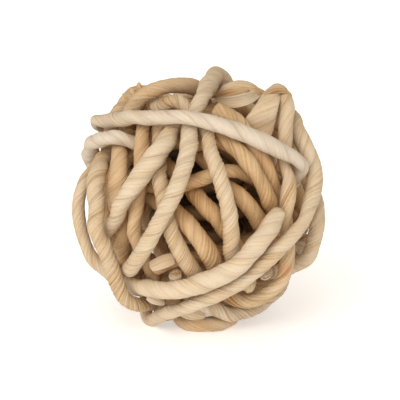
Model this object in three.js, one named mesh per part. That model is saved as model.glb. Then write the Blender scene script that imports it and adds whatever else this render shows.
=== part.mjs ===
// A decorative ball wound by hand from separate lengths of twisted husk rope, with their ends tucked in.
// Millimetres, +Z up. The face described below looks toward -Y and leans back a little.
import * as THREE from "three";

// Driving dimensions
const BALL_DIAMETER = 80;
const ROPE_DIAMETER = 5.2;
const CLEARANCE = 0.35; // between neighbouring lengths of rope
const FACE_LEAN = THREE.MathUtils.degToRad(12);
const TABLE_DEPTH = 39; // from the ball's centre down to the table
const FLAT_DEPTH = 1.2; // how far the table flattens the lowest turns
const RING_SPACING = 6.3; // along a rope, between the rings of its outline
const RING_SIDES = 8;
const INNER_RING_SIDES = 6; // for the turns deep inside

// Husk shades, and the dull finish they share
const PALE_HUSK = 0xdcccb5;
const CREAM_HUSK = 0xcdb390;
const TAN_HUSK = 0xc9a87f;
const BROWN_HUSK = 0xa07c52;
const HUSK_FINISH = { roughness: 0.7, metalness: 0 };

const OUTER_RADIUS = (BALL_DIAMETER - ROPE_DIAMETER) / 2; // to the centre line of the outermost turns
const LEAN_AXIS = new THREE.Vector3(1, 0, 0);
const DOWN = new THREE.Vector3(0, 0, -1).applyAxisAngle(LEAN_AXIS, FACE_LEAN);

// Route points are written as the face is seen: millimetres to the right of the ball's centre and above
// it, then how many rope thicknesses the turn lies under the outermost layer.
function place(side, [right, up, layer = 0]) {
  const radius = OUTER_RADIUS - layer * ROPE_DIAMETER;
  const point = new THREE.Vector3(right, 0, up).clampLength(0, radius);
  point.y = side * Math.sqrt(Math.max(0, radius ** 2 - point.lengthSq()));
  return point;
}
const near = (...points) => points.map((point) => place(-1, point));
const far = (...points) => points.map((point) => place(1, point));

// The lengths of rope in the order they are wound, innermost first, each from one tucked end to the
// other. Thickness lists the diameter at even steps along the length.
const ROPES = [
  {
    name: "innermost_rope",
    sides: INNER_RING_SIDES,
    thickness: [4.6, 4.8, 5, 5.6],
    colour: BROWN_HUSK,
    route: [
      ...near([9, 1, 4.6], [1, -3, 5.2], [-6, -10, 4]),
      ...near([2, -12.5, 3.7], [9, -9.5, 3.5]),
      ...far([8, -8.5, 3.5], [-8, -6.5, 3.5]),
      ...near([-11, -4.5, 3.5], [10, -3, 3.5]),
      ...far([11, -1, 3.5], [-11, 1, 3.5]),
      ...near([-11, 3, 3.5], [9, 5.5, 3.5]),
      ...far([8, 9, 3.5], [-4, 12.5, 3.5]),
      ...near([-13, 13, 2.8], [-9, 9, 2.3], [-2.5, 2.3, 2], [4.2, -4.3, 2], [9, -11, 2], [12, -18, 2]),
      ...far([13, -19, 2], [9, -8, 2], [3, 6, 2], [-4, 17, 2]),
      ...near([-6, 21, 2], [1, 14, 2.1], [10.1, 3.8, 1.6], [16.7, -3.8, 1.6], [20, -12, 1.8]),
      ...far([21, -12, 2], [17, 2, 2.2], [5, 13, 2.6], [-10, 16, 2.6], [-20, 10, 2.6]),
      ...near([-17, 4, 2.8], [-10, -2, 2.2], [-5.8, -6.6, 1.3]),
      ...near([0.9, -13, 1], [4.6, -17, 1.1], [6, -20, 1.8]),
    ],
  },
  {
    name: "inner_cross_rope",
    sides: INNER_RING_SIDES,
    thickness: [4.4, 4.4],
    colour: BROWN_HUSK,
    route: [
      ...near([-13, -19.5, 1.2], [-8, -19, 1.5], [0, -18, 2], [10, -16, 2.3], [20, -11, 2.4]),
      ...far([20, -9, 2.4], [12, -4, 2.2], [0, 0, 2], [-14, 2, 2], [-23, 4, 2.2]),
      ...near([-22, 4, 2.4], [-12, 3, 2.4], [-2.5, 4.4, 1.9]),
      ...near([5.2, 7.8, 1.7], [13.5, 7.8, 1.8], [22, 4, 2.1]),
      ...far([24, 0, 2], [14, 8, 1.9], [0, 14, 1.9], [-12, 18, 2]),
      ...near([-13, 21, 2], [-2, 24.5, 1.9], [9, 24, 1.6], [17, 20, 1.7]),
      ...far([21, 14, 1.9], [20, 5, 2.2], [17, -3, 2.5], [12, -12.5, 2.5], [0, -17.5, 2.5]),
      ...far([-10, -15, 2.5], [-17.5, -5, 2.5], [-15, 8, 2.5], [-6, 16, 2.5], [6, 16, 2.5], [15, 9, 2.3]),
      ...far([24, 1, 1.6], [29.5, -9, 0.9], [26, -19.5, 0.8], [15, -29, 0.8], [0, -32, 0.9]),
      ...far([-14, -29.5, 0.7], [-24, -21.5, 0.8], [-28.5, -9, 1.3], [-30.5, 4, 1.1]),
      ...far([-26, 18, 0.9], [-15, 28, 0.9], [0, 32, 0.9]),
      ...far([15, 28, 0.9], [26, 18, 1], [30.5, 5, 1], [31.5, -5, 0.7], [29, -14, 0.6]),
    ],
  },
  {
    name: "left_inner_rope",
    thickness: [4.6, 4.4, 4.8, 6.2, 5],
    colour: TAN_HUSK,
    route: [
      ...far([-12, 20, 2], [-14, 27, 1.3]),
      ...near([-17, 25, 1], [-16.6, 18.2, 1], [-17, 10.6, 1]),
      ...near([-18, 4, 1.1], [-19.8, -3, 1], [-20.8, -9.3, 1]),
      ...near([-18.8, -15.8, 1.1], [-15, -23, 1.1]),
      ...far([-17, -23, 1.2], [-22, -14, 1.1], [-24, 0, 1.1], [-22, 15, 1.1]),
      ...near([-24, 20, 1.1], [-23.8, 11.5, 0.9], [-25.7, 5.7, 0.8]),
      ...near([-26.4, 0, 0.9], [-26, -7, 1.1], [-24, -15, 1.2]),
      ...far([-24, -19, 1.2], [-13, -25, 1.1], [2, -25, 1.1], [16, -20, 1.4]),
    ],
  },
  {
    name: "tan_inner_rope",
    thickness: [5.6, 4.8, 4.8, 5.2, 4.8],
    colour: TAN_HUSK,
    route: [
      ...near([4.8, 27.6, 0.6], [8.6, 26.3, 0.5], [11.8, 23.4, 0.8]),
      ...near([14.5, 19, 1], [17.2, 14.3, 0.7], [21.5, 7.2, 1.2]),
      ...near([24, 1, 2], [25, -6, 2.2]),
      ...far([25, -9, 1.8], [19, -6, 1.1], [6, 0, 1], [-9, 6, 1], [-22, 10, 1.1]),
      ...near([-27, 13, 1.9], [-18, 17, 2], [-8, 19, 2]),
      ...near([2.4, 18.9, 1.7], [7.8, 18.2, 1], [11.6, 15, 0.6]),
      ...near([16.5, 8, 0.6], [20.6, 1.7, 1], [22.5, -4, 1.8], [24, -11, 2]),
      ...far([25, -13.5, 1.8], [19, -17, 1.1], [6, -16, 1]),
      ...far([-6, -10.5, 1.1], [-15, -5, 1.3], [-23, 1, 1.8]),
    ],
  },
  {
    name: "middle_inner_rope",
    thickness: [4.8, 5.2, 5, 5.2, 4.6, 5.4],
    colour: CREAM_HUSK,
    route: [
      ...near([-13, 20, 1.6], [-12.8, 13, 1.2], [-11.2, 4.4, 1.1]),
      ...near([-10.5, -1, 1.1], [-8, -8.1, 1], [-5.2, -16.9, 1]),
      ...near([-2.5, -23, 1.1], [-2, -29.5, 1.1]),
      ...far([-6, -27, 1.1], [-13, -17, 1], [-15.5, -5, 1], [-14, 13, 1], [-15, 25, 1]),
      ...near([-18, 25.5, 1], [-15.6, 28, 0.7], [-10.7, 29.4, 0.6]),
      ...near([-5, 28, 0.8], [-0.8, 22.5, 1], [1.4, 17.5, 0.7]),
      ...near([3.7, 12.1, 0.4], [5.8, 7.2, 0.4], [7.6, 1.7, 0.5]),
      ...near([9, -5, 0.5], [9.5, -12, 0.7], [9.1, -18, 1]),
      ...near([9.5, -24, 1.1], [12, -27, 0.6], [15.8, -27.3, 0.4]),
    ],
  },
  {
    name: "second_diagonal_rope",
    thickness: [5.6, 6.2, 4.4, 5, 5, 5, 5, 4.8, 4.8],
    colour: CREAM_HUSK,
    route: [
      ...near([-4.5, 26, 1.6], [-8, 20.5, 0.7], [-10.1, 16.4, 0.2]),
      ...near([-13.5, 12.1, 0], [-20.6, 2.9, 0], [-24, -3, 0.2]),
      ...near([-26.4, -7.5, 0.7], [-28.2, -12, 1], [-29.3, -17, 0.8]),
      ...far([-28, -18, 0.3], [-20, -12, 0.1], [-8, 1, 0], [5, 12, 0], [19, 18, 0], [30, 16, 0.3]),
      ...near([33, 10, 0.9], [35, 3, 0.5], [36.3, -3.8, 0]),
      ...near([35.8, -9.2, 0], [34, -14.3, 0.1], [29.9, -19.5, 0.6]),
      ...near([25.5, -22, 0.9], [20.5, -22.3, 0.5]),
    ],
  },
  {
    name: "top_left_rope",
    thickness: [5.4, 5.2],
    colour: TAN_HUSK,
    route: [
      ...near([-25, 17, 1.6], [-22.8, 22.5, 1.2], [-19.6, 27.4, 0.5]),
      ...near([-15.2, 31, 0.1], [-10.1, 33.8, 0], [-4.6, 35.5, 0.2]),
      ...far([2, 34.5, 0.6], [5, 28, 0.3], [3, 15, 0.2], [0, 0, 0.1]),
      ...far([-2, -14, 0.1], [2, -27, 0.1], [9, -34, 0]),
      ...near([9.5, -36.4, -0.1], [5, -37.8, -0.3], [-1, -38, -0.35]),
      ...near([-7, -37, 0], [-12, -31.5, 1], [-14, -27, 1.6]),
    ],
  },
  {
    name: "main_diagonal_rope",
    thickness: [5, 5.4, 5.6, 5.4, 5.4, 5.5, 5, 4.8],
    colour: CREAM_HUSK,
    route: [
      ...near([-24.5, -25, 1.4], [-21.3, -21.3, 0.7], [-16.6, -14.7, 0]),
      ...near([-10.1, -3.8, 0], [-5.2, 7.2, 0], [-2.1, 18.7, 0.4]),
      ...near([-0.1, 26, 0.6], [1, 32, 0.1], [3.6, 36.2, 0]),
      ...far([4.6, 34, 0.2], [11, 26, 0], [16, 14, 0], [15.5, 2, 0]),
      ...far([13, -10, 0], [5, -24, 0], [-6, -34, 0]),
      ...near([-13, -34, 0.3], [-17.2, -32.2, 0], [-22, -27, 0]),
      ...near([-26.4, -19, 0], [-28.2, -12, 0], [-29.9, -4, 0]),
      ...near([-30.6, 2, 0], [-30, 8, 0.1], [-29.4, 15, 0.8]),
      ...near([-28.5, 19, 1], [-27, 23.5, 0.7], [-23.8, 28, 0.2]),
      ...far([-19, 31, 0], [-6, 29, 0], [9, 22, 0.6], [22, 12, 0], [31, 0, 0.2], [32, -9, 1]),
    ],
  },
  {
    name: "lower_front_rope",
    thickness: [5, 5, 4.8, 4.2, 4, 4.8, 6.2, 5.8],
    colour: CREAM_HUSK,
    route: [
      ...far([29, 15, 1.2], [30, 20, 0.4]),
      ...near([26, 26.5, 0.2], [19.5, 31.2, 0], [12, 33.4, 0]),
      ...far([4, 33, 0.5], [-6, 32.2, 0.4], [-17, 28.5, 0.3], [-25, 19, 0.6], [-29.5, 12, 0.7]),
      ...near([-35.6, 8, 0.3], [-37.9, 0, -0.1], [-38, -7, -0.1]),
      ...near([-36, -13.5, -0.1], [-29.6, -24, 0.4], [-24, -25.3, 0.6]),
      ...near([-15.6, -26.2, 0], [-7.4, -26.5, 0], [-0.3, -25, 0]),
      ...near([6.4, -22.4, 0], [11.8, -18.5, 0], [19.9, -9.7, 0]),
      ...near([22, -7, 0.1], [23.2, -5.2, 0.4]),
    ],
  },
  {
    name: "right_kinked_rope",
    thickness: [6, 5, 4.7, 4.7, 4.7],
    colour: CREAM_HUSK,
    route: [
      ...near([13, 16, 2], [16.5, 20, 1.2], [18.6, 23.5, 0.3], [21, 30, -0.6], [25.6, 35.6, -1.3]),
      ...near([26.2, 30, -0.8], [25.4, 23, 0], [26, 16, 0.6]),
      ...near([25.2, 10, 0.9], [25.6, 4.5, 0.8], [25.4, -1.5, 0.5]),
      ...near([26.4, -8, 0.8], [27.2, -14.7, 0.3], [25.9, -20.1, 0]),
      ...near([22.7, -25.6, 0], [18.4, -29.8, 0], [13, -32, 0.1]),
      ...near([7, -30.5, 0.9], [3, -27, 1.6]),
    ],
  },
  {
    name: "left_stub_rope",
    thickness: [5.3, 5, 5, 5, 4.4],
    colour: PALE_HUSK,
    route: [
      ...near([-18.4, 19, 1.1], [-22, 19.4, 0.3], [-27.5, 19, 0], [-31, 17, 0.1]),
      ...far([-32.5, 11, 0.1], [-29, 1, 0], [-20, -8, 0.1]),
      ...far([-6, -13.5, 0.2], [10, -17.5, 0.2], [23, -22, 0.2]),
      ...near([25.5, -26.7, 0.2], [21.8, -30.8, 0.1], [17.2, -33.3, 0]),
      ...near([11.8, -34.6, 0], [6.4, -33.6, 0.2], [1.5, -30.5, 0.8]),
      ...near([-3, -26.5, 1.3], [-7.5, -22, 1]),
    ],
  },
  {
    name: "right_side_rope",
    thickness: [4.4, 4.2, 4.4, 5.4, 5.4, 5, 5],
    colour: CREAM_HUSK,
    route: [
      ...far([-9, -10, 1], [-14, -21, 0.2], [-16, -31, 0]),
      ...near([-12.3, -34.5, 0], [-5.8, -32.2, 0], [0.9, -30, 0]),
      ...near([11.8, -25, 0], [17.2, -20.7, 0], [22.7, -15.2, 0]),
      ...near([27.6, -9.7, 0], [31, -5.4, 0], [33.7, 0.2, 0]),
      ...near([35, 5.5, 0], [34.2, 11, 0], [31.9, 16.5, 0]),
      ...near([28.8, 21.6, 0.1]),
      ...far([21, 29, 0], [7, 30, 0.2], [-9, 25, 0.1], [-20, 17, 0]),
      ...far([-26.5, 6, 0.1], [-27, -5, 0.5], [-23, -12, 1.3]),
    ],
  },
  {
    name: "pale_band_rope",
    thickness: [5.4, 5.2, 4.6, 5.2, 5.2, 5, 5],
    colour: PALE_HUSK,
    route: [
      ...near([27, 3.5, 2.2], [28.8, 6.5, 1.1], [29.8, 9.8, 0.1], [27.2, 13, -0.1], [19.9, 16.2, -0.1]),
      ...near([11.8, 20.4, -0.2], [0.9, 23.1, -0.3], [-10.1, 23.9, -0.2], [-21.1, 24, 0], [-27.5, 23.4, 0.1]),
      ...far([-27.5, 21, 0.2], [-24, 13, 0], [-16, 5, 0], [-7, -1, 0]),
      ...far([2, -5, 0], [17, -8, 0], [29, -12, 0.3], [32, -16, 1.1]),
    ],
  },
];

// Settling the turns: every rope is a string of beads that holds to its route, bends smoothly and moves
// aside, or over and under, where it meets another turn.
const BEAD_SPACING = 2.5;
const ROUNDS = 200;
const HOLD = 0.06;
const STIFFNESS = 0.25;
const PART = 0.45;
const BEND_ROOM = 0.4; // extra space, since straight steps between rings cut the corners of a bend
const CROSSING = 0.4; // sine of the angle from which two turns cross rather than run side by side
const SIDE_KEPT = 1; // a turn that lies further than this to one side of another stays on that side
const OWN_BEADS = 6; // neighbouring beads of one rope may overlap
const PRESSED_AT = [0, 0.25, 0.5, 0.75]; // places along each step between rings where ropes may touch

function radiusAt(thickness, share) {
  const step = share * (thickness.length - 1);
  const before = Math.min(Math.floor(step), thickness.length - 2);
  return THREE.MathUtils.lerp(thickness[before], thickness[before + 1], step - before) / 2;
}

function stringBeads({ route, thickness }, order) {
  const curve = new THREE.CatmullRomCurve3(route);
  const last = Math.round(curve.getLength() / BEAD_SPACING);
  return curve.getSpacedPoints(last).map((home, index) => ({
    order,
    index,
    home,
    at: home.clone(),
    along: new THREE.Vector3(),
    radius: radiusAt(thickness, index / last),
  }));
}

function straighten(beads) {
  const middle = new THREE.Vector3();
  beads.forEach((bead, i) => {
    const before = beads[Math.max(0, i - 1)].at;
    const after = beads[Math.min(beads.length - 1, i + 1)].at;
    bead.along.subVectors(after, before).normalize();
    bead.at.lerp(bead.home, HOLD);
    if (i > 0 && i < beads.length - 1) {
      bead.at.lerp(middle.addVectors(before, after).multiplyScalar(0.5), STIFFNESS);
    }
    const underTable = bead.at.dot(DOWN) + bead.radius - TABLE_DEPTH;
    bead.at.addScaledVector(DOWN, -Math.max(0, underTable));
  });
}

// Two turns that cross part along the line square to both; the one wound later goes outside. Two that
// run side by side part sideways.
const between = new THREE.Vector3();
const apart = new THREE.Vector3();
function part(first, second) {
  const reach = first.radius + second.radius + CLEARANCE + BEND_ROOM;
  between.subVectors(second.at, first.at);
  const distance = between.length();
  if (distance >= reach) {
    return;
  }
  apart.crossVectors(first.along, second.along);
  if (apart.length() > CROSSING) {
    const outward = Math.sign(apart.dot(first.at)) * (second.order - first.order);
    const side = apart.dot(between);
    apart.multiplyScalar(Math.abs(side) > SIDE_KEPT ? side : outward);
  } else {
    apart.copy(between).addScaledVector(first.along, -first.along.dot(between));
  }
  apart.setLength((reach - distance) * PART);
  first.at.sub(apart);
  second.at.add(apart);
}

function settle(strings) {
  const beads = strings.flat();
  for (let round = 0; round < ROUNDS; round++) {
    strings.forEach(straighten);
    beads.forEach((first, i) => {
      for (let j = i + 1; j < beads.length; j++) {
        const second = beads[j];
        if (second.order !== first.order || second.index - first.index > OWN_BEADS) {
          part(first, second);
        }
      }
    });
  }
}

// A rope's curve gives the extrusion its thickness at every ring by scaling the section's two axes.
class RopeCurve extends THREE.CatmullRomCurve3 {
  computeFrenetFrames(steps) {
    const frames = super.computeFrenetFrames(steps, false);
    this.radii.forEach((radius, ring) => {
      frames.normals[ring].multiplyScalar(radius);
      frames.binormals[ring].multiplyScalar(radius);
    });
    return frames;
  }
}

function ropeCurve(beads, { thickness }) {
  const lean = (bead) => bead.at.clone().applyAxisAngle(LEAN_AXIS, -FACE_LEAN);
  const curve = new RopeCurve(beads.map(lean));
  curve.steps = Math.round(curve.getLength() / RING_SPACING);
  curve.centres = curve.getSpacedPoints(curve.steps);
  curve.radii = curve.centres.map((_, ring) => radiusAt(thickness, ring / curve.steps));
  return curve;
}

// Rope gives where two turns press on each other: each ring is narrowed until it clears the other ropes.
function squash(curves) {
  const samples = curves.map(({ centres, radii }) =>
    centres.slice(1).flatMap((centre, ring) =>
      PRESSED_AT.map((share) => ({
        at: centres[ring].clone().lerp(centre, share),
        rings: [Math.ceil(ring + share - 0.5), Math.floor(ring + share + 0.5)],
        radius: THREE.MathUtils.lerp(radii[ring], radii[ring + 1], share),
      })),
    ),
  );
  const narrowed = curves.map(({ radii }) => [...radii]);
  samples.forEach((own, a) => {
    samples.slice(a + 1).forEach((others, b) => {
      own.forEach((sample) => {
        others.forEach((other) => {
          const room = sample.at.distanceTo(other.at) - CLEARANCE;
          const share = room / (sample.radius + other.radius);
          if (share < 1) {
            for (const ring of sample.rings) {
              narrowed[a][ring] = Math.min(narrowed[a][ring], share * sample.radius);
            }
            for (const ring of other.rings) {
              narrowed[a + 1 + b][ring] = Math.min(narrowed[a + 1 + b][ring], share * other.radius);
            }
          }
        });
      });
    });
  });
  curves.forEach((curve, i) => {
    curve.radii = narrowed[i];
  });
}

function ropeMesh(curve, { name, colour, sides = RING_SIDES }) {
  const circle = new THREE.Path().absarc(0, 0, 1, 0, 2 * Math.PI);
  const section = new THREE.Shape(circle.getPoints(sides / 2).slice(1));
  const geometry = new THREE.ExtrudeGeometry(section, {
    steps: curve.steps,
    bevelEnabled: false,
    extrudePath: curve,
  });
  const material = new THREE.MeshStandardMaterial({ color: colour, ...HUSK_FINISH });
  const mesh = new THREE.Mesh(geometry, material);
  mesh.name = name;
  return mesh;
}

// The ball stands on its lowest turns, which the table presses flat.
function setDown(ball) {
  const middle = new THREE.Box3().setFromObject(ball).getCenter(new THREE.Vector3());
  for (const { geometry } of ball.children) {
    geometry.translate(-middle.x, -middle.y, TABLE_DEPTH - FLAT_DEPTH);
    const corners = geometry.getAttribute("position");
    for (let i = 0; i < corners.count; i++) {
      corners.setZ(i, Math.max(0, corners.getZ(i)));
    }
  }
}

const strings = ROPES.map(stringBeads);
settle(strings);
const curves = strings.map((beads, i) => ropeCurve(beads, ROPES[i]));
squash(curves);

const ball = new THREE.Group();
ball.name = "decorative_sphere";
curves.forEach((curve, i) => ball.add(ropeMesh(curve, ROPES[i])));
setDown(ball);

export default ball;
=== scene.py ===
"""A loose decorative ball, wound by hand from separate lengths of twisted maize-husk rope."""
import math

import bmesh
import bpy
import numpy as np
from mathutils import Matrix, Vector


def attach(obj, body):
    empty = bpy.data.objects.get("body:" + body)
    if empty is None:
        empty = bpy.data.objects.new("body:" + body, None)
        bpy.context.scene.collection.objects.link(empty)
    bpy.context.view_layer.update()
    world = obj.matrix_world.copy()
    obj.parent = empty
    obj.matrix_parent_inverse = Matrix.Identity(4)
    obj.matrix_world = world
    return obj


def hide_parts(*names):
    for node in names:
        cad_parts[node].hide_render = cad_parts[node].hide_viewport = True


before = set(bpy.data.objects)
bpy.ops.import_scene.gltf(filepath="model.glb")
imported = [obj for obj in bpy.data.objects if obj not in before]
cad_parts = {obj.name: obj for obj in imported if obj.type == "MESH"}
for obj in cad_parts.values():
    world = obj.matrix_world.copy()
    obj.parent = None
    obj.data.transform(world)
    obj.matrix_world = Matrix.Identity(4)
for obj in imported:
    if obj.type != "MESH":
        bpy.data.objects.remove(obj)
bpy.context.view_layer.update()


# Innermost rope: the first length wound, a coil at the heart of the ball that ends in a bent tip on the
# face. Damp maize husk is rolled and twisted into a rope of a single ply, which holds its shape once
# dry; nothing fixes it but the later lengths that are wound over it.
MM = 0.001  # sizes are in millimetres until a mesh is made
SAME_PLACE = 1e-7  # how near two corners are when they are one, in metres
LEVEL_ANGLE = 2e-3  # the most between two triangles of one flat face, in radians
END_CORNERS = 6  # the fewest that a rope's flat end has


def rope_line(node):
    """The middle line and the radii of a rope, read from the rings of its solid, lower end first."""
    solid = bmesh.new()
    solid.from_mesh(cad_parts[node].data)
    bmesh.ops.remove_doubles(solid, verts=solid.verts, dist=SAME_PLACE)
    solid.verts.ensure_lookup_table()
    solid.verts.index_update()
    flats = solid.copy()
    level = [edge for edge in flats.edges if edge.calc_face_angle(math.pi) < LEVEL_ANGLE]
    bmesh.ops.dissolve_edges(flats, edges=level, use_verts=False)
    ends = [[vert.index for vert in face.verts] for face in flats.faces if len(face.verts) >= END_CORNERS]
    flats.free()

    def rings_from(end):
        ring = [solid.verts[index] for index in end]
        rings = []
        seen = set(ring)
        while ring:
            rings.append(ring)
            beside = [edge.other_vert(vert) for vert in ring for edge in vert.link_edges]
            ring = [vert for vert in dict.fromkeys(beside) if vert not in seen]
            seen.update(ring)
        return rings

    walks = [rings_from(end) for end in ends]
    walks = [rings for rings in walks if len({len(ring) for ring in rings}) == 1]
    corners = [np.array([[vert.co for vert in ring] for ring in rings]) for rings in walks]
    corners = min(corners, key=lambda rings: rings[0, :, 2].mean()) / MM
    solid.free()
    middles = corners.mean(axis=1)
    return middles, np.linalg.norm(corners - middles[:, None], axis=2).mean(axis=1)


CURVE_CUTS = 16  # places worked out on a smooth line between two of its points


def in_even_steps(points, radii, step):
    """A smooth line through the points, and the radii along it, both taken at even steps."""
    padded = np.vstack((2 * points[0] - points[1], points, 2 * points[-1] - points[-2]))
    before, start, stop, after = (padded[i : i + len(points) - 1] for i in range(4))
    share = np.linspace(0, 1, CURVE_CUTS, endpoint=False)[None, :, None]
    bend = 2 * before - 5 * start + 4 * stop - after
    swing = 3 * start - before - 3 * stop + after
    fine = start[:, None] + 0.5 * (
        (stop - before)[:, None] * share + bend[:, None] * share**2 + swing[:, None] * share**3
    )
    fine = np.vstack((fine.reshape(-1, 3), points[-1]))
    run = np.append(0, np.cumsum(np.linalg.norm(np.diff(fine, axis=0), axis=1)))
    along = np.linspace(0, run[-1], round(run[-1] / step) + 1)
    line = np.stack([np.interp(along, run, fine[:, axis]) for axis in range(3)], axis=1)
    return along, line, np.interp(along, run[::CURVE_CUTS], radii)


def wander(draw, along, span, low, high):
    """A value that drifts smoothly between low and high as it goes along."""
    place = (along - along[0]) / span
    knot = place.astype(int)
    knots = draw.uniform(low, high, knot[-1] + 2)
    share = place - knot
    share = share**2 * (3 - 2 * share)
    return knots[knot] * (1 - share) + knots[knot + 1] * share


FIRST_LEAN = (0.3, 0.5, 0.8)  # sets where round its first ring a rope's twist begins


def directions(line):
    """The way along a line, and two ways square to it that are carried along without twisting."""
    ahead = np.gradient(line, axis=0)
    ahead /= np.linalg.norm(ahead, axis=1)[:, None]
    across = [np.cross(ahead[0], FIRST_LEAN)]
    for way in ahead:
        square = across[-1] - way * across[-1].dot(way)
        across.append(square / np.linalg.norm(square))
    across = np.array(across[1:])
    return ahead, across, np.cross(ahead, across)


BALL_MIDDLE = np.array((0.43, -1.22, 37.8))
BALL_RADIUS = 40


def outward_of(line, ahead):
    """The way out of the ball from a line, square to the line."""
    outward = line - BALL_MIDDLE
    outward = outward - ahead * (outward * ahead).sum(axis=1)[:, None]
    return outward / np.linalg.norm(outward, axis=1)[:, None]


def husk_sheet(name, places, lay, layers, thickness=0):
    """An object from a sheet of rows and columns of places, joined where its edges meet. The sheet's lay
    is its width across the veins, its length along them, and where it starts on the leaf."""
    rows, columns = places.shape[:2]
    sheet = bmesh.new()
    lay_layer = sheet.loops.layers.uv.new("lay")
    bmesh.ops.create_grid(sheet, x_segments=columns - 1, y_segments=rows - 1, size=0.5, calc_uvs=True)
    width, length, start = lay
    for face in sheet.faces:
        face.smooth = True
        for loop in face.loops:
            corner = loop[lay_layer]
            corner.uv = (corner.uv.x * width, corner.uv.y * length + start)
    # How deep each place lies in the ball; the husk material turns it into painted shade.
    layers["depth"] = 1 - np.linalg.norm(places - BALL_MIDDLE, axis=2) / BALL_RADIUS
    for layer, values in layers.items():
        kept = sheet.verts.layers.float.new(layer)
        for vert, value in zip(sheet.verts, values.ravel()):
            vert[kept] = value
    for vert, place in zip(sheet.verts, places.reshape(-1, 3)):
        vert.co = place * MM
    bmesh.ops.remove_doubles(sheet, verts=sheet.verts, dist=SAME_PLACE)
    if thickness:
        bmesh.ops.solidify(sheet, geom=sheet.faces, thickness=thickness * MM)
    bmesh.ops.recalc_face_normals(sheet, faces=sheet.faces)
    mesh = bpy.data.meshes.new(name)
    sheet.to_mesh(mesh)
    sheet.free()
    thing = bpy.data.objects.new(name, mesh)
    bpy.context.collection.objects.link(thing)
    return thing


# Rows past a rope's last ring, in radii: how far they reach, how wide they are, and how far the rolled
# leaves of a cut end stand above and below each other.
ROUNDED_END = [(0.9 * math.sin(angle), math.cos(angle), 0) for angle in np.linspace(0.15, math.pi / 2, 9)]
SPIRAL_TURNS = 2.4

FINE = (60, 0.5)  # columns around a rope, and the step between its rows
COARSE = (40, 0.8)
STRIPS = 2  # leaves of husk in a rope
LEAF_CROWDING = 0.6  # how closely the columns gather at a leaf's edge
SEAM_WIDTH = 0.05  # share of a leaf's width taken by the ochre edge and painted shade of a seam
PATTERN_APART = 1000  # keeps the veins of one rope from being those of another
CREASES = ((6, 1.0), (10, 0.8), (15, 0.6))  # number around the rope, and share of the depth
WRINKLE_DEPTH = 0.7
WRINKLE_SPACING = 1.5

# What drifts along a rope: the length in which it changes, and its lowest and highest values.
TWIST_DRIFT = (30, 0.85, 1.15)
LAP_DRIFT = (14, -0.25, 1.15)
CREASE_SHIFT = (16, -1.3, 1.3)
CREASE_DRIFT = (12, 0.2, 1)
WRINKLE_SHIFT = (3, 0, 6)
PLUMPNESS = (9, 0.92, 1.07)
OVALNESS = (14, -0.08, 0.08)
TONE_DRIFT = (30, -0.2, 0.2)


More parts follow.
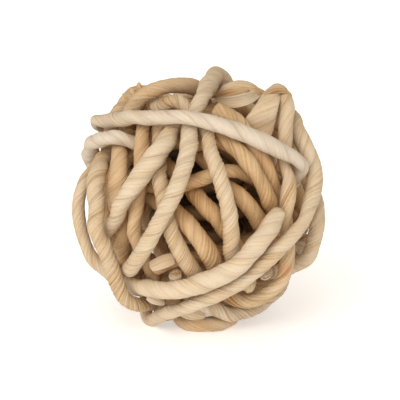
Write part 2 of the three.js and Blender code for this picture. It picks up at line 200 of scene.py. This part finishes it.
def husk_rope(
    node, seed, twist, lap=0.1, ridge=0.05, tone=(0.4, 0.4), swell=0.95, grain=FINE,
    low_end=ROUNDED_END, high_end=ROUNDED_END, pressed=(), stains=(),
):
    """A rope rolled from leaves of husk. Twist is the length of one turn, lap the height of a leaf's edge
    and ridge the depth of the creases; tone goes from pale, 0, to ochre, 1, at the low and the high end.
    Pressed spots have a reach and what becomes of the rope's width and thickness there; stains have a
    reach."""
    draw = np.random.default_rng(seed)
    columns, step = grain
    along, line, radii = in_even_steps(*rope_line(node), step)
    ahead, across, out = directions(line)
    bend = np.gradient(ahead, step, axis=0)

    # The ends go on from the first and last rings.
    low, high = len(low_end), len(high_end)

    def with_ends(values):
        return np.concatenate((values[[0] * low], values, values[[-1] * high]))

    line, ahead, across, out, bend, radii = map(with_ends, (line, ahead, across, out, bend, radii * swell))
    ends = np.concatenate((low_end[::-1], np.tile((0, 1, 0), (len(along), 1)), high_end))
    sides = np.concatenate((np.full(low, -1), np.ones(len(along)), np.ones(high)))
    past, share, spiral = ends.T * (sides * radii, np.ones(len(ends)), sides * radii)
    along = with_ends(along) + past
    line = line + ahead * past[:, None]

    # Each leaf's raised edge laps over the tail of the leaf before it, and all of them turn with the twist.
    column = np.arange(columns + 1) / columns * STRIPS
    leaf = np.floor(column).astype(int)
    into = column - leaf
    into = into - LEAF_CROWDING * np.sin(math.tau * into) / math.tau
    round_rope = math.tau * (leaf + into) / STRIPS
    leaf = leaf % STRIPS
    turned = math.tau * np.cumsum(np.gradient(along) / (twist * wander(draw, along, *TWIST_DRIFT)))
    angle = round_rope[None, :] + turned[:, None]
    way = np.cos(angle)[:, :, None] * across[:, None] + np.sin(angle)[:, :, None] * out[:, None]

    laps = np.stack([wander(draw, along, *LAP_DRIFT).clip(0, 1) for _ in range(STRIPS)], axis=1)
    height = lap * laps[:, leaf] * (1 - into)
    for count, depth in CREASES:
        drift = wander(draw, along, *CREASE_SHIFT)[:, None]
        depth = depth * ridge * wander(draw, along, *CREASE_DRIFT)[:, None]
        height += depth * np.cos(count * round_rope + drift + draw.uniform(0, math.tau))
    inside_bend = ((bend[:, None] * way).sum(axis=2) * radii[:, None]).clip(0, 1)
    wave = np.cos(math.tau * along / WRINKLE_SPACING + wander(draw, along, *WRINKLE_SHIFT))[:, None]
    height += WRINKLE_DEPTH * inside_bend**2 * (wave - 1)
    plump = wander(draw, along, *PLUMPNESS)[:, None]
    oval = wander(draw, along, *OVALNESS)[:, None] * np.cos(2 * round_rope)
    radius = (radii[:, None] * (plump + oval) + height) * share[:, None]
    places = line[:, None] + radius[:, :, None] * way
    rolled = spiral * share
    rolled = rolled[:, None] * np.sin(angle + math.tau * SPIRAL_TURNS * share[:, None])
    places += rolled[:, :, None] * ahead[:, None]

    outward = outward_of(line, ahead)
    sideways = np.cross(ahead, outward)
    for spot, reach, wide, thin in pressed:
        near = np.exp(-((np.linalg.norm(line - spot, axis=1) / reach) ** 2))[:, None]
        offset = places - line[:, None]
        for direction, factor in ((sideways, wide), (outward, thin)):
            part = (offset * direction[:, None]).sum(axis=2)
            places += ((factor - 1) * near * part)[:, :, None] * direction[:, None]
    places[:, :, 2] = places[:, :, 2].clip(0)

    drifts = np.stack([wander(draw, along, *TONE_DRIFT) for _ in range(STRIPS)], axis=1)
    layers = {
        "tone": drifts[:, leaf] + np.linspace(*tone, len(along))[:, None],
        # Ochre along each leaf's edge together with painted shade in the lap at its tail, as strong as a
        # leaf's lap is high.
        "seam_ochre_and_shade": laps[:, leaf - 1] * np.exp(-(((1 - into) / SEAM_WIDTH) ** 2)),
        "stain": np.zeros(places.shape[:2]),
    }
    for spot, reach in stains:
        layers["stain"] += np.exp(-((np.linalg.norm(places - spot, axis=2) / reach) ** 2))
    lay = (math.tau * radii.mean(), along[-1] - along[0], PATTERN_APART * seed)
    return husk_sheet(node.replace("_rope", "_husk"), places, lay, layers)


VEIN_TONE = 0.85  # how far the veins, the streaks and the blotches turn the husk from pale to ochre
STREAK_TONE = 0.3
BLOTCH_TONE = 0.4
MIDDLE_TONE = 1.07  # what the three come to on average, taken off again
SEAM_OCHRE_AND_SHADE_SHARE = 0.55  # of ochre along a leaf's edge, which also stands for painted shade at the foot of the lap
STAIN_COLOUR = (0.5, 0.2, 0.06, 1)
VEIN_HEIGHT = 0.17


def husk(slot, pale, cream, tan, ochre):
    """Dry maize husk: veins along the leaf, drifting tones, ochre leaf edges with painted shade where they
    lap, and painted shade that darkens it deep in the ball.
    """
    material = bpy.data.materials.new("twisted_" + slot)
    material["slot"] = slot
    material.use_nodes = True
    tree = material.node_tree
    shader = tree.nodes["Principled BSDF"]

    def add(kind, inputs, **settings):
        node = tree.nodes.new("ShaderNode" + kind)
        for key, value in settings.items():
            setattr(node, key, value)
        for key, value in inputs.items():
            if isinstance(value, bpy.types.NodeSocket):
                tree.links.new(value, node.inputs[key])
            else:
                node.inputs[key].default_value = value
        return node.outputs

    def add_ramp(value, colours):
        ramp = tree.nodes.new("ShaderNodeValToRGB")
        tree.links.new(value, ramp.inputs["Fac"])
        stops = ramp.color_ramp.elements
        while len(stops) < len(colours):
            stops.new(0.5)
        for stop, (at, colour) in zip(stops, colours.items()):
            stop.position = at
            stop.color = (*colour, 1)
        return ramp.outputs["Color"]

    lay = add("UVMap", {}, uv_map="lay")["UV"]
    leaf = add("Mapping", {"Vector": lay, "Scale": (1, 0.04, 1)})["Vector"]
    fibres = add("TexNoise", {"Vector": leaf, "Scale": 1.5, "Detail": 4.0, "Roughness": 0.75})["Fac"]
    fibres = add("MapRange", {"Value": fibres, "From Min": 0.36, "From Max": 0.64})["Result"]
    ribs = {"Vector": leaf, "Scale": 0.34, "Distortion": 2.5, "Detail": 2.0, "Detail Scale": 1.2}
    ribs = add("TexWave", ribs, bands_direction="X")["Fac"]
    veins = add("Mix", {0: 0.3, 2: fibres, 3: ribs})[0]
    grit = add("TexNoise", {"Vector": lay, "Scale": 1.8, "Detail": 4.0, "Roughness": 0.65})["Fac"]
    relief = add("Math", {0: grit, 1: 0.7, 2: veins}, operation="MULTIPLY_ADD")["Value"]
    streaks = add("TexNoise", {"Vector": leaf, "Scale": 0.4, "Detail": 2.0})["Fac"]
    streaks = add("MapRange", {"Value": streaks, "From Min": 0.34, "From Max": 0.66})["Result"]
    place = add("TexCoord", {})["Object"]
    blotches = add("TexNoise", {"Vector": place, "Scale": 90.0, "Detail": 2.0})["Fac"]
    tone, seam_ochre_and_shade, stain, depth = (
        add("Attribute", {}, attribute_name=layer)["Fac"] for layer in ("tone", "seam_ochre_and_shade", "stain", "depth")
    )

    tone = add("Math", {0: relief, 1: VEIN_TONE, 2: tone}, operation="MULTIPLY_ADD")["Value"]
    tone = add("Math", {0: streaks, 1: STREAK_TONE, 2: tone}, operation="MULTIPLY_ADD")["Value"]
    tone = add("Math", {0: blotches, 1: BLOTCH_TONE, 2: tone}, operation="MULTIPLY_ADD")["Value"]
    tone = add("Math", {0: tone, 1: MIDDLE_TONE}, operation="SUBTRACT")["Value"]
    colour = add_ramp(tone, {0.0: pale, 0.4: cream, 0.8: tan, 1.0: ochre})
    # Ochre leaf edges, partly painted shade where the next leaf's raised edge laps over.
    seam_ochre_and_shade = add("Math", {0: seam_ochre_and_shade, 1: SEAM_OCHRE_AND_SHADE_SHARE}, operation="MULTIPLY")["Value"]
    colour = add("Mix", {0: seam_ochre_and_shade, 6: colour, 7: (*ochre, 1)}, data_type="RGBA")[2]
    stain = add("Math", {0: stain, 1: streaks}, operation="MULTIPLY")["Value"]
    colour = add("Mix", {0: stain, 6: colour, 7: STAIN_COLOUR}, data_type="RGBA")[2]
    # Painted shade: the deeper the husk lies in the ball, the more its colour is darkened, through a warm
    # brown to near black, in place of the shade among the inner turns.
    painted_shade = add_ramp(depth, {0.08: (1, 1, 1), 0.34: (0.94, 0.78, 0.58), 0.6: (0.12, 0.06, 0.02)})
    colour = add("Mix", {0: 1.0, 6: colour, 7: painted_shade}, data_type="RGBA", blend_type="MULTIPLY")[2]
    tree.links.new(colour, shader.inputs["Base Color"])
    rough = add("MapRange", {"Value": veins, "To Min": 0.75, "To Max": 0.5})["Result"]
    tree.links.new(rough, shader.inputs["Roughness"])
    shader.inputs["Specular IOR Level"].default_value = 0.35
    bump = add("Bump", {"Strength": 0.9, "Distance": VEIN_HEIGHT * MM, "Height": relief})["Normal"]
    tree.links.new(bump, shader.inputs["Normal"])
    return material


def wound_in(rope, node, material):
    """The rope takes its solid's place in the ball."""
    rope.data.materials.append(material)
    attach(rope, "root")
    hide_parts(node)


BROWN_HUSK = husk(
    "brown_husk",
    pale=(0.62, 0.46, 0.29),
    cream=(0.56, 0.39, 0.22),
    tan=(0.46, 0.29, 0.13),
    ochre=(0.3, 0.16, 0.05),
)
innermost = husk_rope("innermost_rope", seed=1, twist=14, ridge=0.08, swell=1.05, grain=COARSE)
wound_in(innermost, "innermost_rope", BROWN_HUSK)


# Inner cross rope: wound over the heart, from a flat cut end low on the face, across and once round at
# the back, then once round the rim just under the outer turns. It is held by the lengths that cross it.
FACE_LEAN = math.radians(12)
CUT_END = [(0.05, 0.99, 0), (0.1, 0.94, 0)] + [(0.08, share, 0.1) for share in np.linspace(0.88, 0, 14)]


def on_face(right, up, toward):
    """A place as the face is seen: right of the ball's middle, above it and toward the viewer."""
    deep = up * math.sin(FACE_LEAN) - toward * math.cos(FACE_LEAN)
    high = up * math.cos(FACE_LEAN) + toward * math.sin(FACE_LEAN)
    return BALL_MIDDLE + (right, deep, high)


inner_cross = husk_rope(
    "inner_cross_rope", seed=2, twist=16, swell=1.05, grain=COARSE, low_end=CUT_END,
    pressed=[
        (on_face(0, 24, 12), 6, 1.5, 0.9),
        (on_face(17, -2, -18), 7, 2.6, 1),
        (on_face(13, -11, -17), 6, 1.6, 1),
        (on_face(-9, -16, -16), 6, 1.6, 1),
        (on_face(-18, -27, -8), 6, 2, 1),
        (on_face(-28, 14, -7), 6, 1.6, 1),
        (on_face(30, -10, -12), 8, 2.6, 1),
        (on_face(22, -24, -5), 7, 1.6, 1),
    ],
)
wound_in(inner_cross, "inner_cross_rope", BROWN_HUSK)


# Left inner rope: two upright runs of tan husk side by side at the left of the face, the second one
# loosely rolled and plump, both tucked in behind.
TAN_HUSK = husk(
    "tan_husk",
    pale=(0.62, 0.46, 0.29),
    cream=(0.56, 0.39, 0.22),
    tan=(0.46, 0.28, 0.12),
    ochre=(0.3, 0.15, 0.05),
)
left_inner = husk_rope(
    "left_inner_rope", seed=3, twist=17,
    pressed=[(on_face(-25, 6, 20), 9, 1.35, 0.9), (on_face(-21.8, 18.5, 5), 5, 1.4, 1)],
)
wound_in(left_inner, "left_inner_rope", TAN_HUSK)


# Tan inner rope: starts at the top in a cut end whose leaves have opened, and comes across the right
# of the face twice, with a reddish line where the husk was bruised.
tan_inner = husk_rope(
    "tan_inner_rope", seed=4, twist=22, tone=(0.45, 0.45), high_end=CUT_END,
    pressed=[(on_face(0, 18.8, 21), 5, 2.5, 1)],
    stains=[(on_face(19.8, 11.2, 25.4), 2.4)],
)
wound_in(tan_inner, "tan_inner_rope", TAN_HUSK)


# Middle inner rope: two runs down the middle of the face, tightly twisted so that its creases show,
# ending in a round cut end low on the right.
CREAM_HUSK = husk(
    "cream_husk",
    pale=(0.65, 0.53, 0.38),
    cream=(0.6, 0.46, 0.3),
    tan=(0.51, 0.34, 0.17),
    ochre=(0.32, 0.16, 0.05),
)
middle_inner = husk_rope(
    "middle_inner_rope", seed=5, twist=12, ridge=0.1, low_end=CUT_END,
    pressed=[(on_face(-10.7, 30, 15.5), 6, 1.45, 1), (on_face(1.2, 22.5, 23.5), 4, 1.3, 1)],
)
wound_in(middle_inner, "middle_inner_rope", CREAM_HUSK)


# Second diagonal rope: plump at the top of the face, thin where it passes under the next rope at the
# left, then round the back to a second round cut end.
second_diagonal = husk_rope("second_diagonal_rope", seed=6, twist=15, tone=(0.3, 0.3), low_end=CUT_END)
wound_in(second_diagonal, "second_diagonal_rope", CREAM_HUSK)


# Top left rope: an arch of tan husk at the top left, frayed along its outer edge, that goes down the back
# and under the ball, where the table presses it flat.
top_left = husk_rope("top_left_rope", seed=7, twist=20, tone=(0.3, 0.3))
wound_in(top_left, "top_left_rope", TAN_HUSK)

LEAF_COLUMNS = 12
LEAF_STEP = 0.4
LEAF_THICKNESS = 0.25
LEAF_EDGE = (4, 0.85, 1.1)  # drift of its width
LEAF_TONE_SPAN = 5


def husk_leaf(name, spots, facing, width, cup, seed, tone, material, taper=0.6):
    """A loose strip of husk that follows the spots, turns its outside the way it is facing as the face is
    seen, is cupped across and tapers at both ends."""
    draw = np.random.default_rng(seed)
    spots = np.array(spots)
    along, line, _ = in_even_steps(spots, np.ones(len(spots)), LEAF_STEP)
    ahead, _, _ = directions(line)
    outward = outward_of(np.tile(on_face(*facing), (len(line), 1)), ahead)
    sideways = np.cross(ahead, outward)
    side = np.linspace(-1, 1, LEAF_COLUMNS + 1)[None, :, None]
    half = (0.5 * width * np.sin(math.pi * along / along[-1]).clip(0) ** taper)[:, None, None]
    half = half * wander(draw, along, *LEAF_EDGE)[:, None, None]
    places = line[:, None] + side * half * sideways[:, None]
    places = places - cup * side**2 * half * outward[:, None]
    layers = {
        "tone": np.repeat(wander(draw, along, LEAF_TONE_SPAN, *tone)[:, None], LEAF_COLUMNS + 1, axis=1),
        "seam_ochre_and_shade": np.zeros(places.shape[:2]),
        "stain": np.zeros(places.shape[:2]),
    }
    leaf = husk_sheet(name, places, (width, along[-1], PATTERN_APART * seed), layers, LEAF_THICKNESS)
    leaf.data.materials.append(material)
    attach(leaf, "root")


husk_leaf(
    "frayed_leaf", [on_face(-22.3, 28.6, 9.5), on_face(-20.4, 31.2, 11), on_face(-17.6, 33.6, 11.8)],
    facing=(-0.6, 0.5, 0.6), width=2.2, cup=0.3, seed=21, tone=(0.6, 0.9), material=TAN_HUSK,
)
FRAYED_SLIVERS = (
    (on_face(-21.4, 29.4, 10.5), on_face(-22.8, 31, 10.6), on_face(-23.4, 32.4, 10.2)),
    (on_face(-19.6, 31.2, 11.5), on_face(-20.8, 33, 11.6), on_face(-21, 34.3, 11)),
    (on_face(-17.6, 33, 12), on_face(-18.5, 34.6, 12.1), on_face(-18.4, 35.7, 11.8)),
)
for number, spots in enumerate(FRAYED_SLIVERS, start=1):
    husk_leaf(
        f"frayed_sliver_{number}", spots, facing=(-0.3, 0.4, 0.9), width=1.8, cup=0.3, seed=30 + number,
        tone=(0.2, 0.8), material=TAN_HUSK,
    )


# Main diagonal rope: the longest outer length. It runs up the middle of the face, over the top in a
# raised loop, down the back, up the left side and round the back again to a tucked end.
main_diagonal = husk_rope(
    "main_diagonal_rope", seed=8, twist=12, ridge=0.07, tone=(0.3, 0.75),
    pressed=[(on_face(-9.8, 30, -19), 6, 1.5, 1), (on_face(14, -5, -33), 10, 1.45, 1)],
)
wound_in(main_diagonal, "main_diagonal_rope", CREAM_HUSK)


# Lower front rope: over the top right rim, down the left side and along the front to a folded tip. At
# the rim its husk has come open: a hood and a lip of leaf stand apart round a darker pocket.
FOLDED_END = [(0.3, 0.98, 0), (0.55, 0.92, 0), (0.75, 0.8, 0), (0.86, 0.6, 0), (0.92, 0.3, 0), (0.94, 0, 0)]
lower_front = husk_rope(
    "lower_front_rope", seed=9, twist=16, tone=(0.2, 0.6), low_end=FOLDED_END,
    pressed=[
        (on_face(12.5, 33, 12.4), 6, 1.3, 0.9),
        (on_face(23.2, -5.2, 28.9), 4, 1.05, 0.75),
        (on_face(-28, 15, -12), 5, 2, 1),
        (on_face(-20, -26.3, 9), 5, 2, 1),
    ],
)
wound_in(lower_front, "lower_front_rope", CREAM_HUSK)
husk_leaf(
    "opened_pocket", [on_face(4.6, 31.2, 7.5), on_face(10, 32.4, 11), on_face(15, 33.5, 12)],
    facing=(0, 0.1, 1), width=3.4, cup=0.5, seed=23, tone=(0.5, 0.7), material=TAN_HUSK,
)
husk_leaf(
    "opened_hood",
    [
        on_face(4.2, 31.6, 6.5), on_face(7.2, 34.2, 8.4), on_face(11.2, 35.4, 9.8),
        on_face(15.5, 34.9, 10.2), on_face(18.8, 33.2, 8.6),
    ],
    facing=(0, 0.6, 0.8), width=4.4, cup=0.6, seed=24, tone=(0.25, 0.5), material=CREAM_HUSK,
)
husk_leaf(
    "opened_lip",
    [on_face(4.6, 30.6, 8), on_face(9.5, 29.6, 11.4), on_face(14, 30.4, 12.6), on_face(18.6, 32.2, 10)],
    facing=(0, 0, 1), width=4, cup=-0.3, seed=25, tone=(0, 0.15), material=CREAM_HUSK,
)


# Right kinked rope: folded sharply at the top right, with the leg before the fold pressed broad and flat
# and a rim of leaf standing over it, then down the right of the face, stained orange low down, and tucked
# in at the bottom.
right_kinked = husk_rope(
    "right_kinked_rope", seed=10, twist=26, tone=(0.8, 0.3),
    pressed=[
        (on_face(17.5, 21.5, 17.7), 6, 1.8, 0.55),
        (on_face(20.2, 28, 17), 4, 1.15, 0.7),
        (on_face(23.2, 33, 11), 4, 0.85, 0.35),
    ],
    stains=[(on_face(25.4, -21, 19.2), 2.5)],
)
wound_in(right_kinked, "right_kinked_rope", CREAM_HUSK)
husk_leaf(
    "kink_rim",
    [
        on_face(17.4, 29.4, 17), on_face(20.4, 32.4, 16), on_face(24.2, 33.6, 13.4),
        on_face(26.8, 32.8, 11.6), on_face(27.8, 30.6, 11.8),
    ],
    facing=(0.1, 0.8, 0.6), width=2.8, cup=0.7, seed=26, tone=(0.7, 0.9), material=TAN_HUSK,
)


# Left stub rope: a short pale end at the upper left that goes round the back and under, to a curled end
# in the gap low on the face.
PALE_HUSK = husk(
    "pale_husk",
    pale=(0.65, 0.56, 0.45),
    cream=(0.61, 0.51, 0.39),
    tan=(0.54, 0.41, 0.26),
    ochre=(0.4, 0.25, 0.11),
)
left_stub = husk_rope("left_stub_rope", seed=11, twist=18, ridge=0.04, tone=(0.8, 0.15), low_end=CUT_END)
wound_in(left_stub, "left_stub_rope", PALE_HUSK)


# Right side rope: from the bottom left across the front and up the right side, then round the back. It
# is thin where it starts and plump at the side. Three loose scraps of leaf are caught between it and the
# turns low on the face.
right_side = husk_rope("right_side_rope", seed=12, twist=19, tone=(0.3, 0.3))
wound_in(right_side, "right_side_rope", CREAM_HUSK)
husk_leaf(
    "flat_scrap", [on_face(-15, -20, 23.8), on_face(-11, -18.4, 24.2), on_face(-7.5, -17.2, 23.6)],
    facing=(0, 0, 1), width=4.2, cup=0.05, seed=29, tone=(0.1, 0.3), material=CREAM_HUSK, taper=0.1,
)
husk_leaf(
    "pale_scrap", [on_face(-16, -29.2, 16.5), on_face(-13.2, -30.6, 15.8), on_face(-10.4, -31.6, 13.4)],
    facing=(0, -0.4, 0.9), width=3.4, cup=0.6, seed=27, tone=(0, 0.2), material=CREAM_HUSK, taper=0.3,
)
husk_leaf(
    "folded_scrap", [on_face(-6, -33.6, 13.5), on_face(-2, -34.8, 11.8), on_face(1.6, -35.6, 9.8)],
    facing=(0, -0.4, 0.9), width=4, cup=0.3, seed=28, tone=(0.3, 0.6), material=CREAM_HUSK, taper=0.2,
)


# Pale band rope: the last length wound, a smooth pale band right across the upper face that bends in
# under the side rope at the right and goes round the back.
pale_band = husk_rope(
    "pale_band_rope", seed=13, twist=18, ridge=0.035, tone=(0.9, 0.1),
    pressed=[(on_face(30.6, -13, -18), 7, 1.9, 1)],
)
wound_in(pale_band, "pale_band_rope", PALE_HUSK)


# Floor, light and camera: a plain pale floor, one broad light above and to the left of the view, and soft
# fill from all round.
FLOOR_REACH = 3.0
floor_sheet = bmesh.new()
bmesh.ops.create_grid(floor_sheet, x_segments=1, y_segments=1, size=FLOOR_REACH)
floor_mesh = bpy.data.meshes.new("floor")
floor_sheet.to_mesh(floor_mesh)
floor_sheet.free()
floor = bpy.data.objects.new("floor", floor_mesh)
bpy.context.collection.objects.link(floor)
floor_paint = bpy.data.materials.new("pale_floor")
floor_paint.use_nodes = True
floor_tree = floor_paint.node_tree
floor_shader = floor_tree.nodes["Principled BSDF"]
floor_shader.inputs["Base Color"].default_value = (0.92, 0.92, 0.92, 1)
floor_shader.inputs["Emission Color"].default_value = (1, 1, 1, 1)
floor_shader.inputs["Emission Strength"].default_value = 0.4
paper = floor_tree.nodes.new("ShaderNodeTexNoise")
paper.inputs["Scale"].default_value = 400
paper_place = floor_tree.nodes.new("ShaderNodeTexCoord")
floor_tree.links.new(paper_place.outputs["Object"], paper.inputs["Vector"])
floor_tree.links.new(paper.outputs["Fac"], floor_shader.inputs["Roughness"])
floor_mesh.materials.append(floor_paint)

LIGHT_WAY = Vector((0.25, 0.85, -0.5))
sun = bpy.data.lights.new("key", "SUN")
sun.energy = 2
sun.angle = math.radians(50)
key = bpy.data.objects.new("key", sun)
key.rotation_euler = LIGHT_WAY.to_track_quat("-Z", "Y").to_euler()
bpy.context.collection.objects.link(key)
world = bpy.data.worlds.new("studio")
world.use_nodes = True
world.node_tree.nodes["Background"].inputs["Color"].default_value = (1, 0.91, 0.8, 1)
world.node_tree.nodes["Background"].inputs["Strength"].default_value = 0.64
bpy.context.scene.world = world
bpy.context.scene.view_settings.view_transform = "Standard"

VIEW_DISTANCE = 0.8
VIEW_WIDTH = 0.1226  # of the picture, at the ball
lens = bpy.data.cameras.new("view")
lens.lens = lens.sensor_width * VIEW_DISTANCE / VIEW_WIDTH
camera = bpy.data.objects.new("view", lens)
back = Vector((0, -math.cos(FACE_LEAN), math.sin(FACE_LEAN)))
camera.location = Vector(BALL_MIDDLE * MM) + back * VIEW_DISTANCE
camera.rotation_euler = (math.pi / 2 - FACE_LEAN, 0, 0)
bpy.context.collection.objects.link(camera)
bpy.context.scene.camera = camera
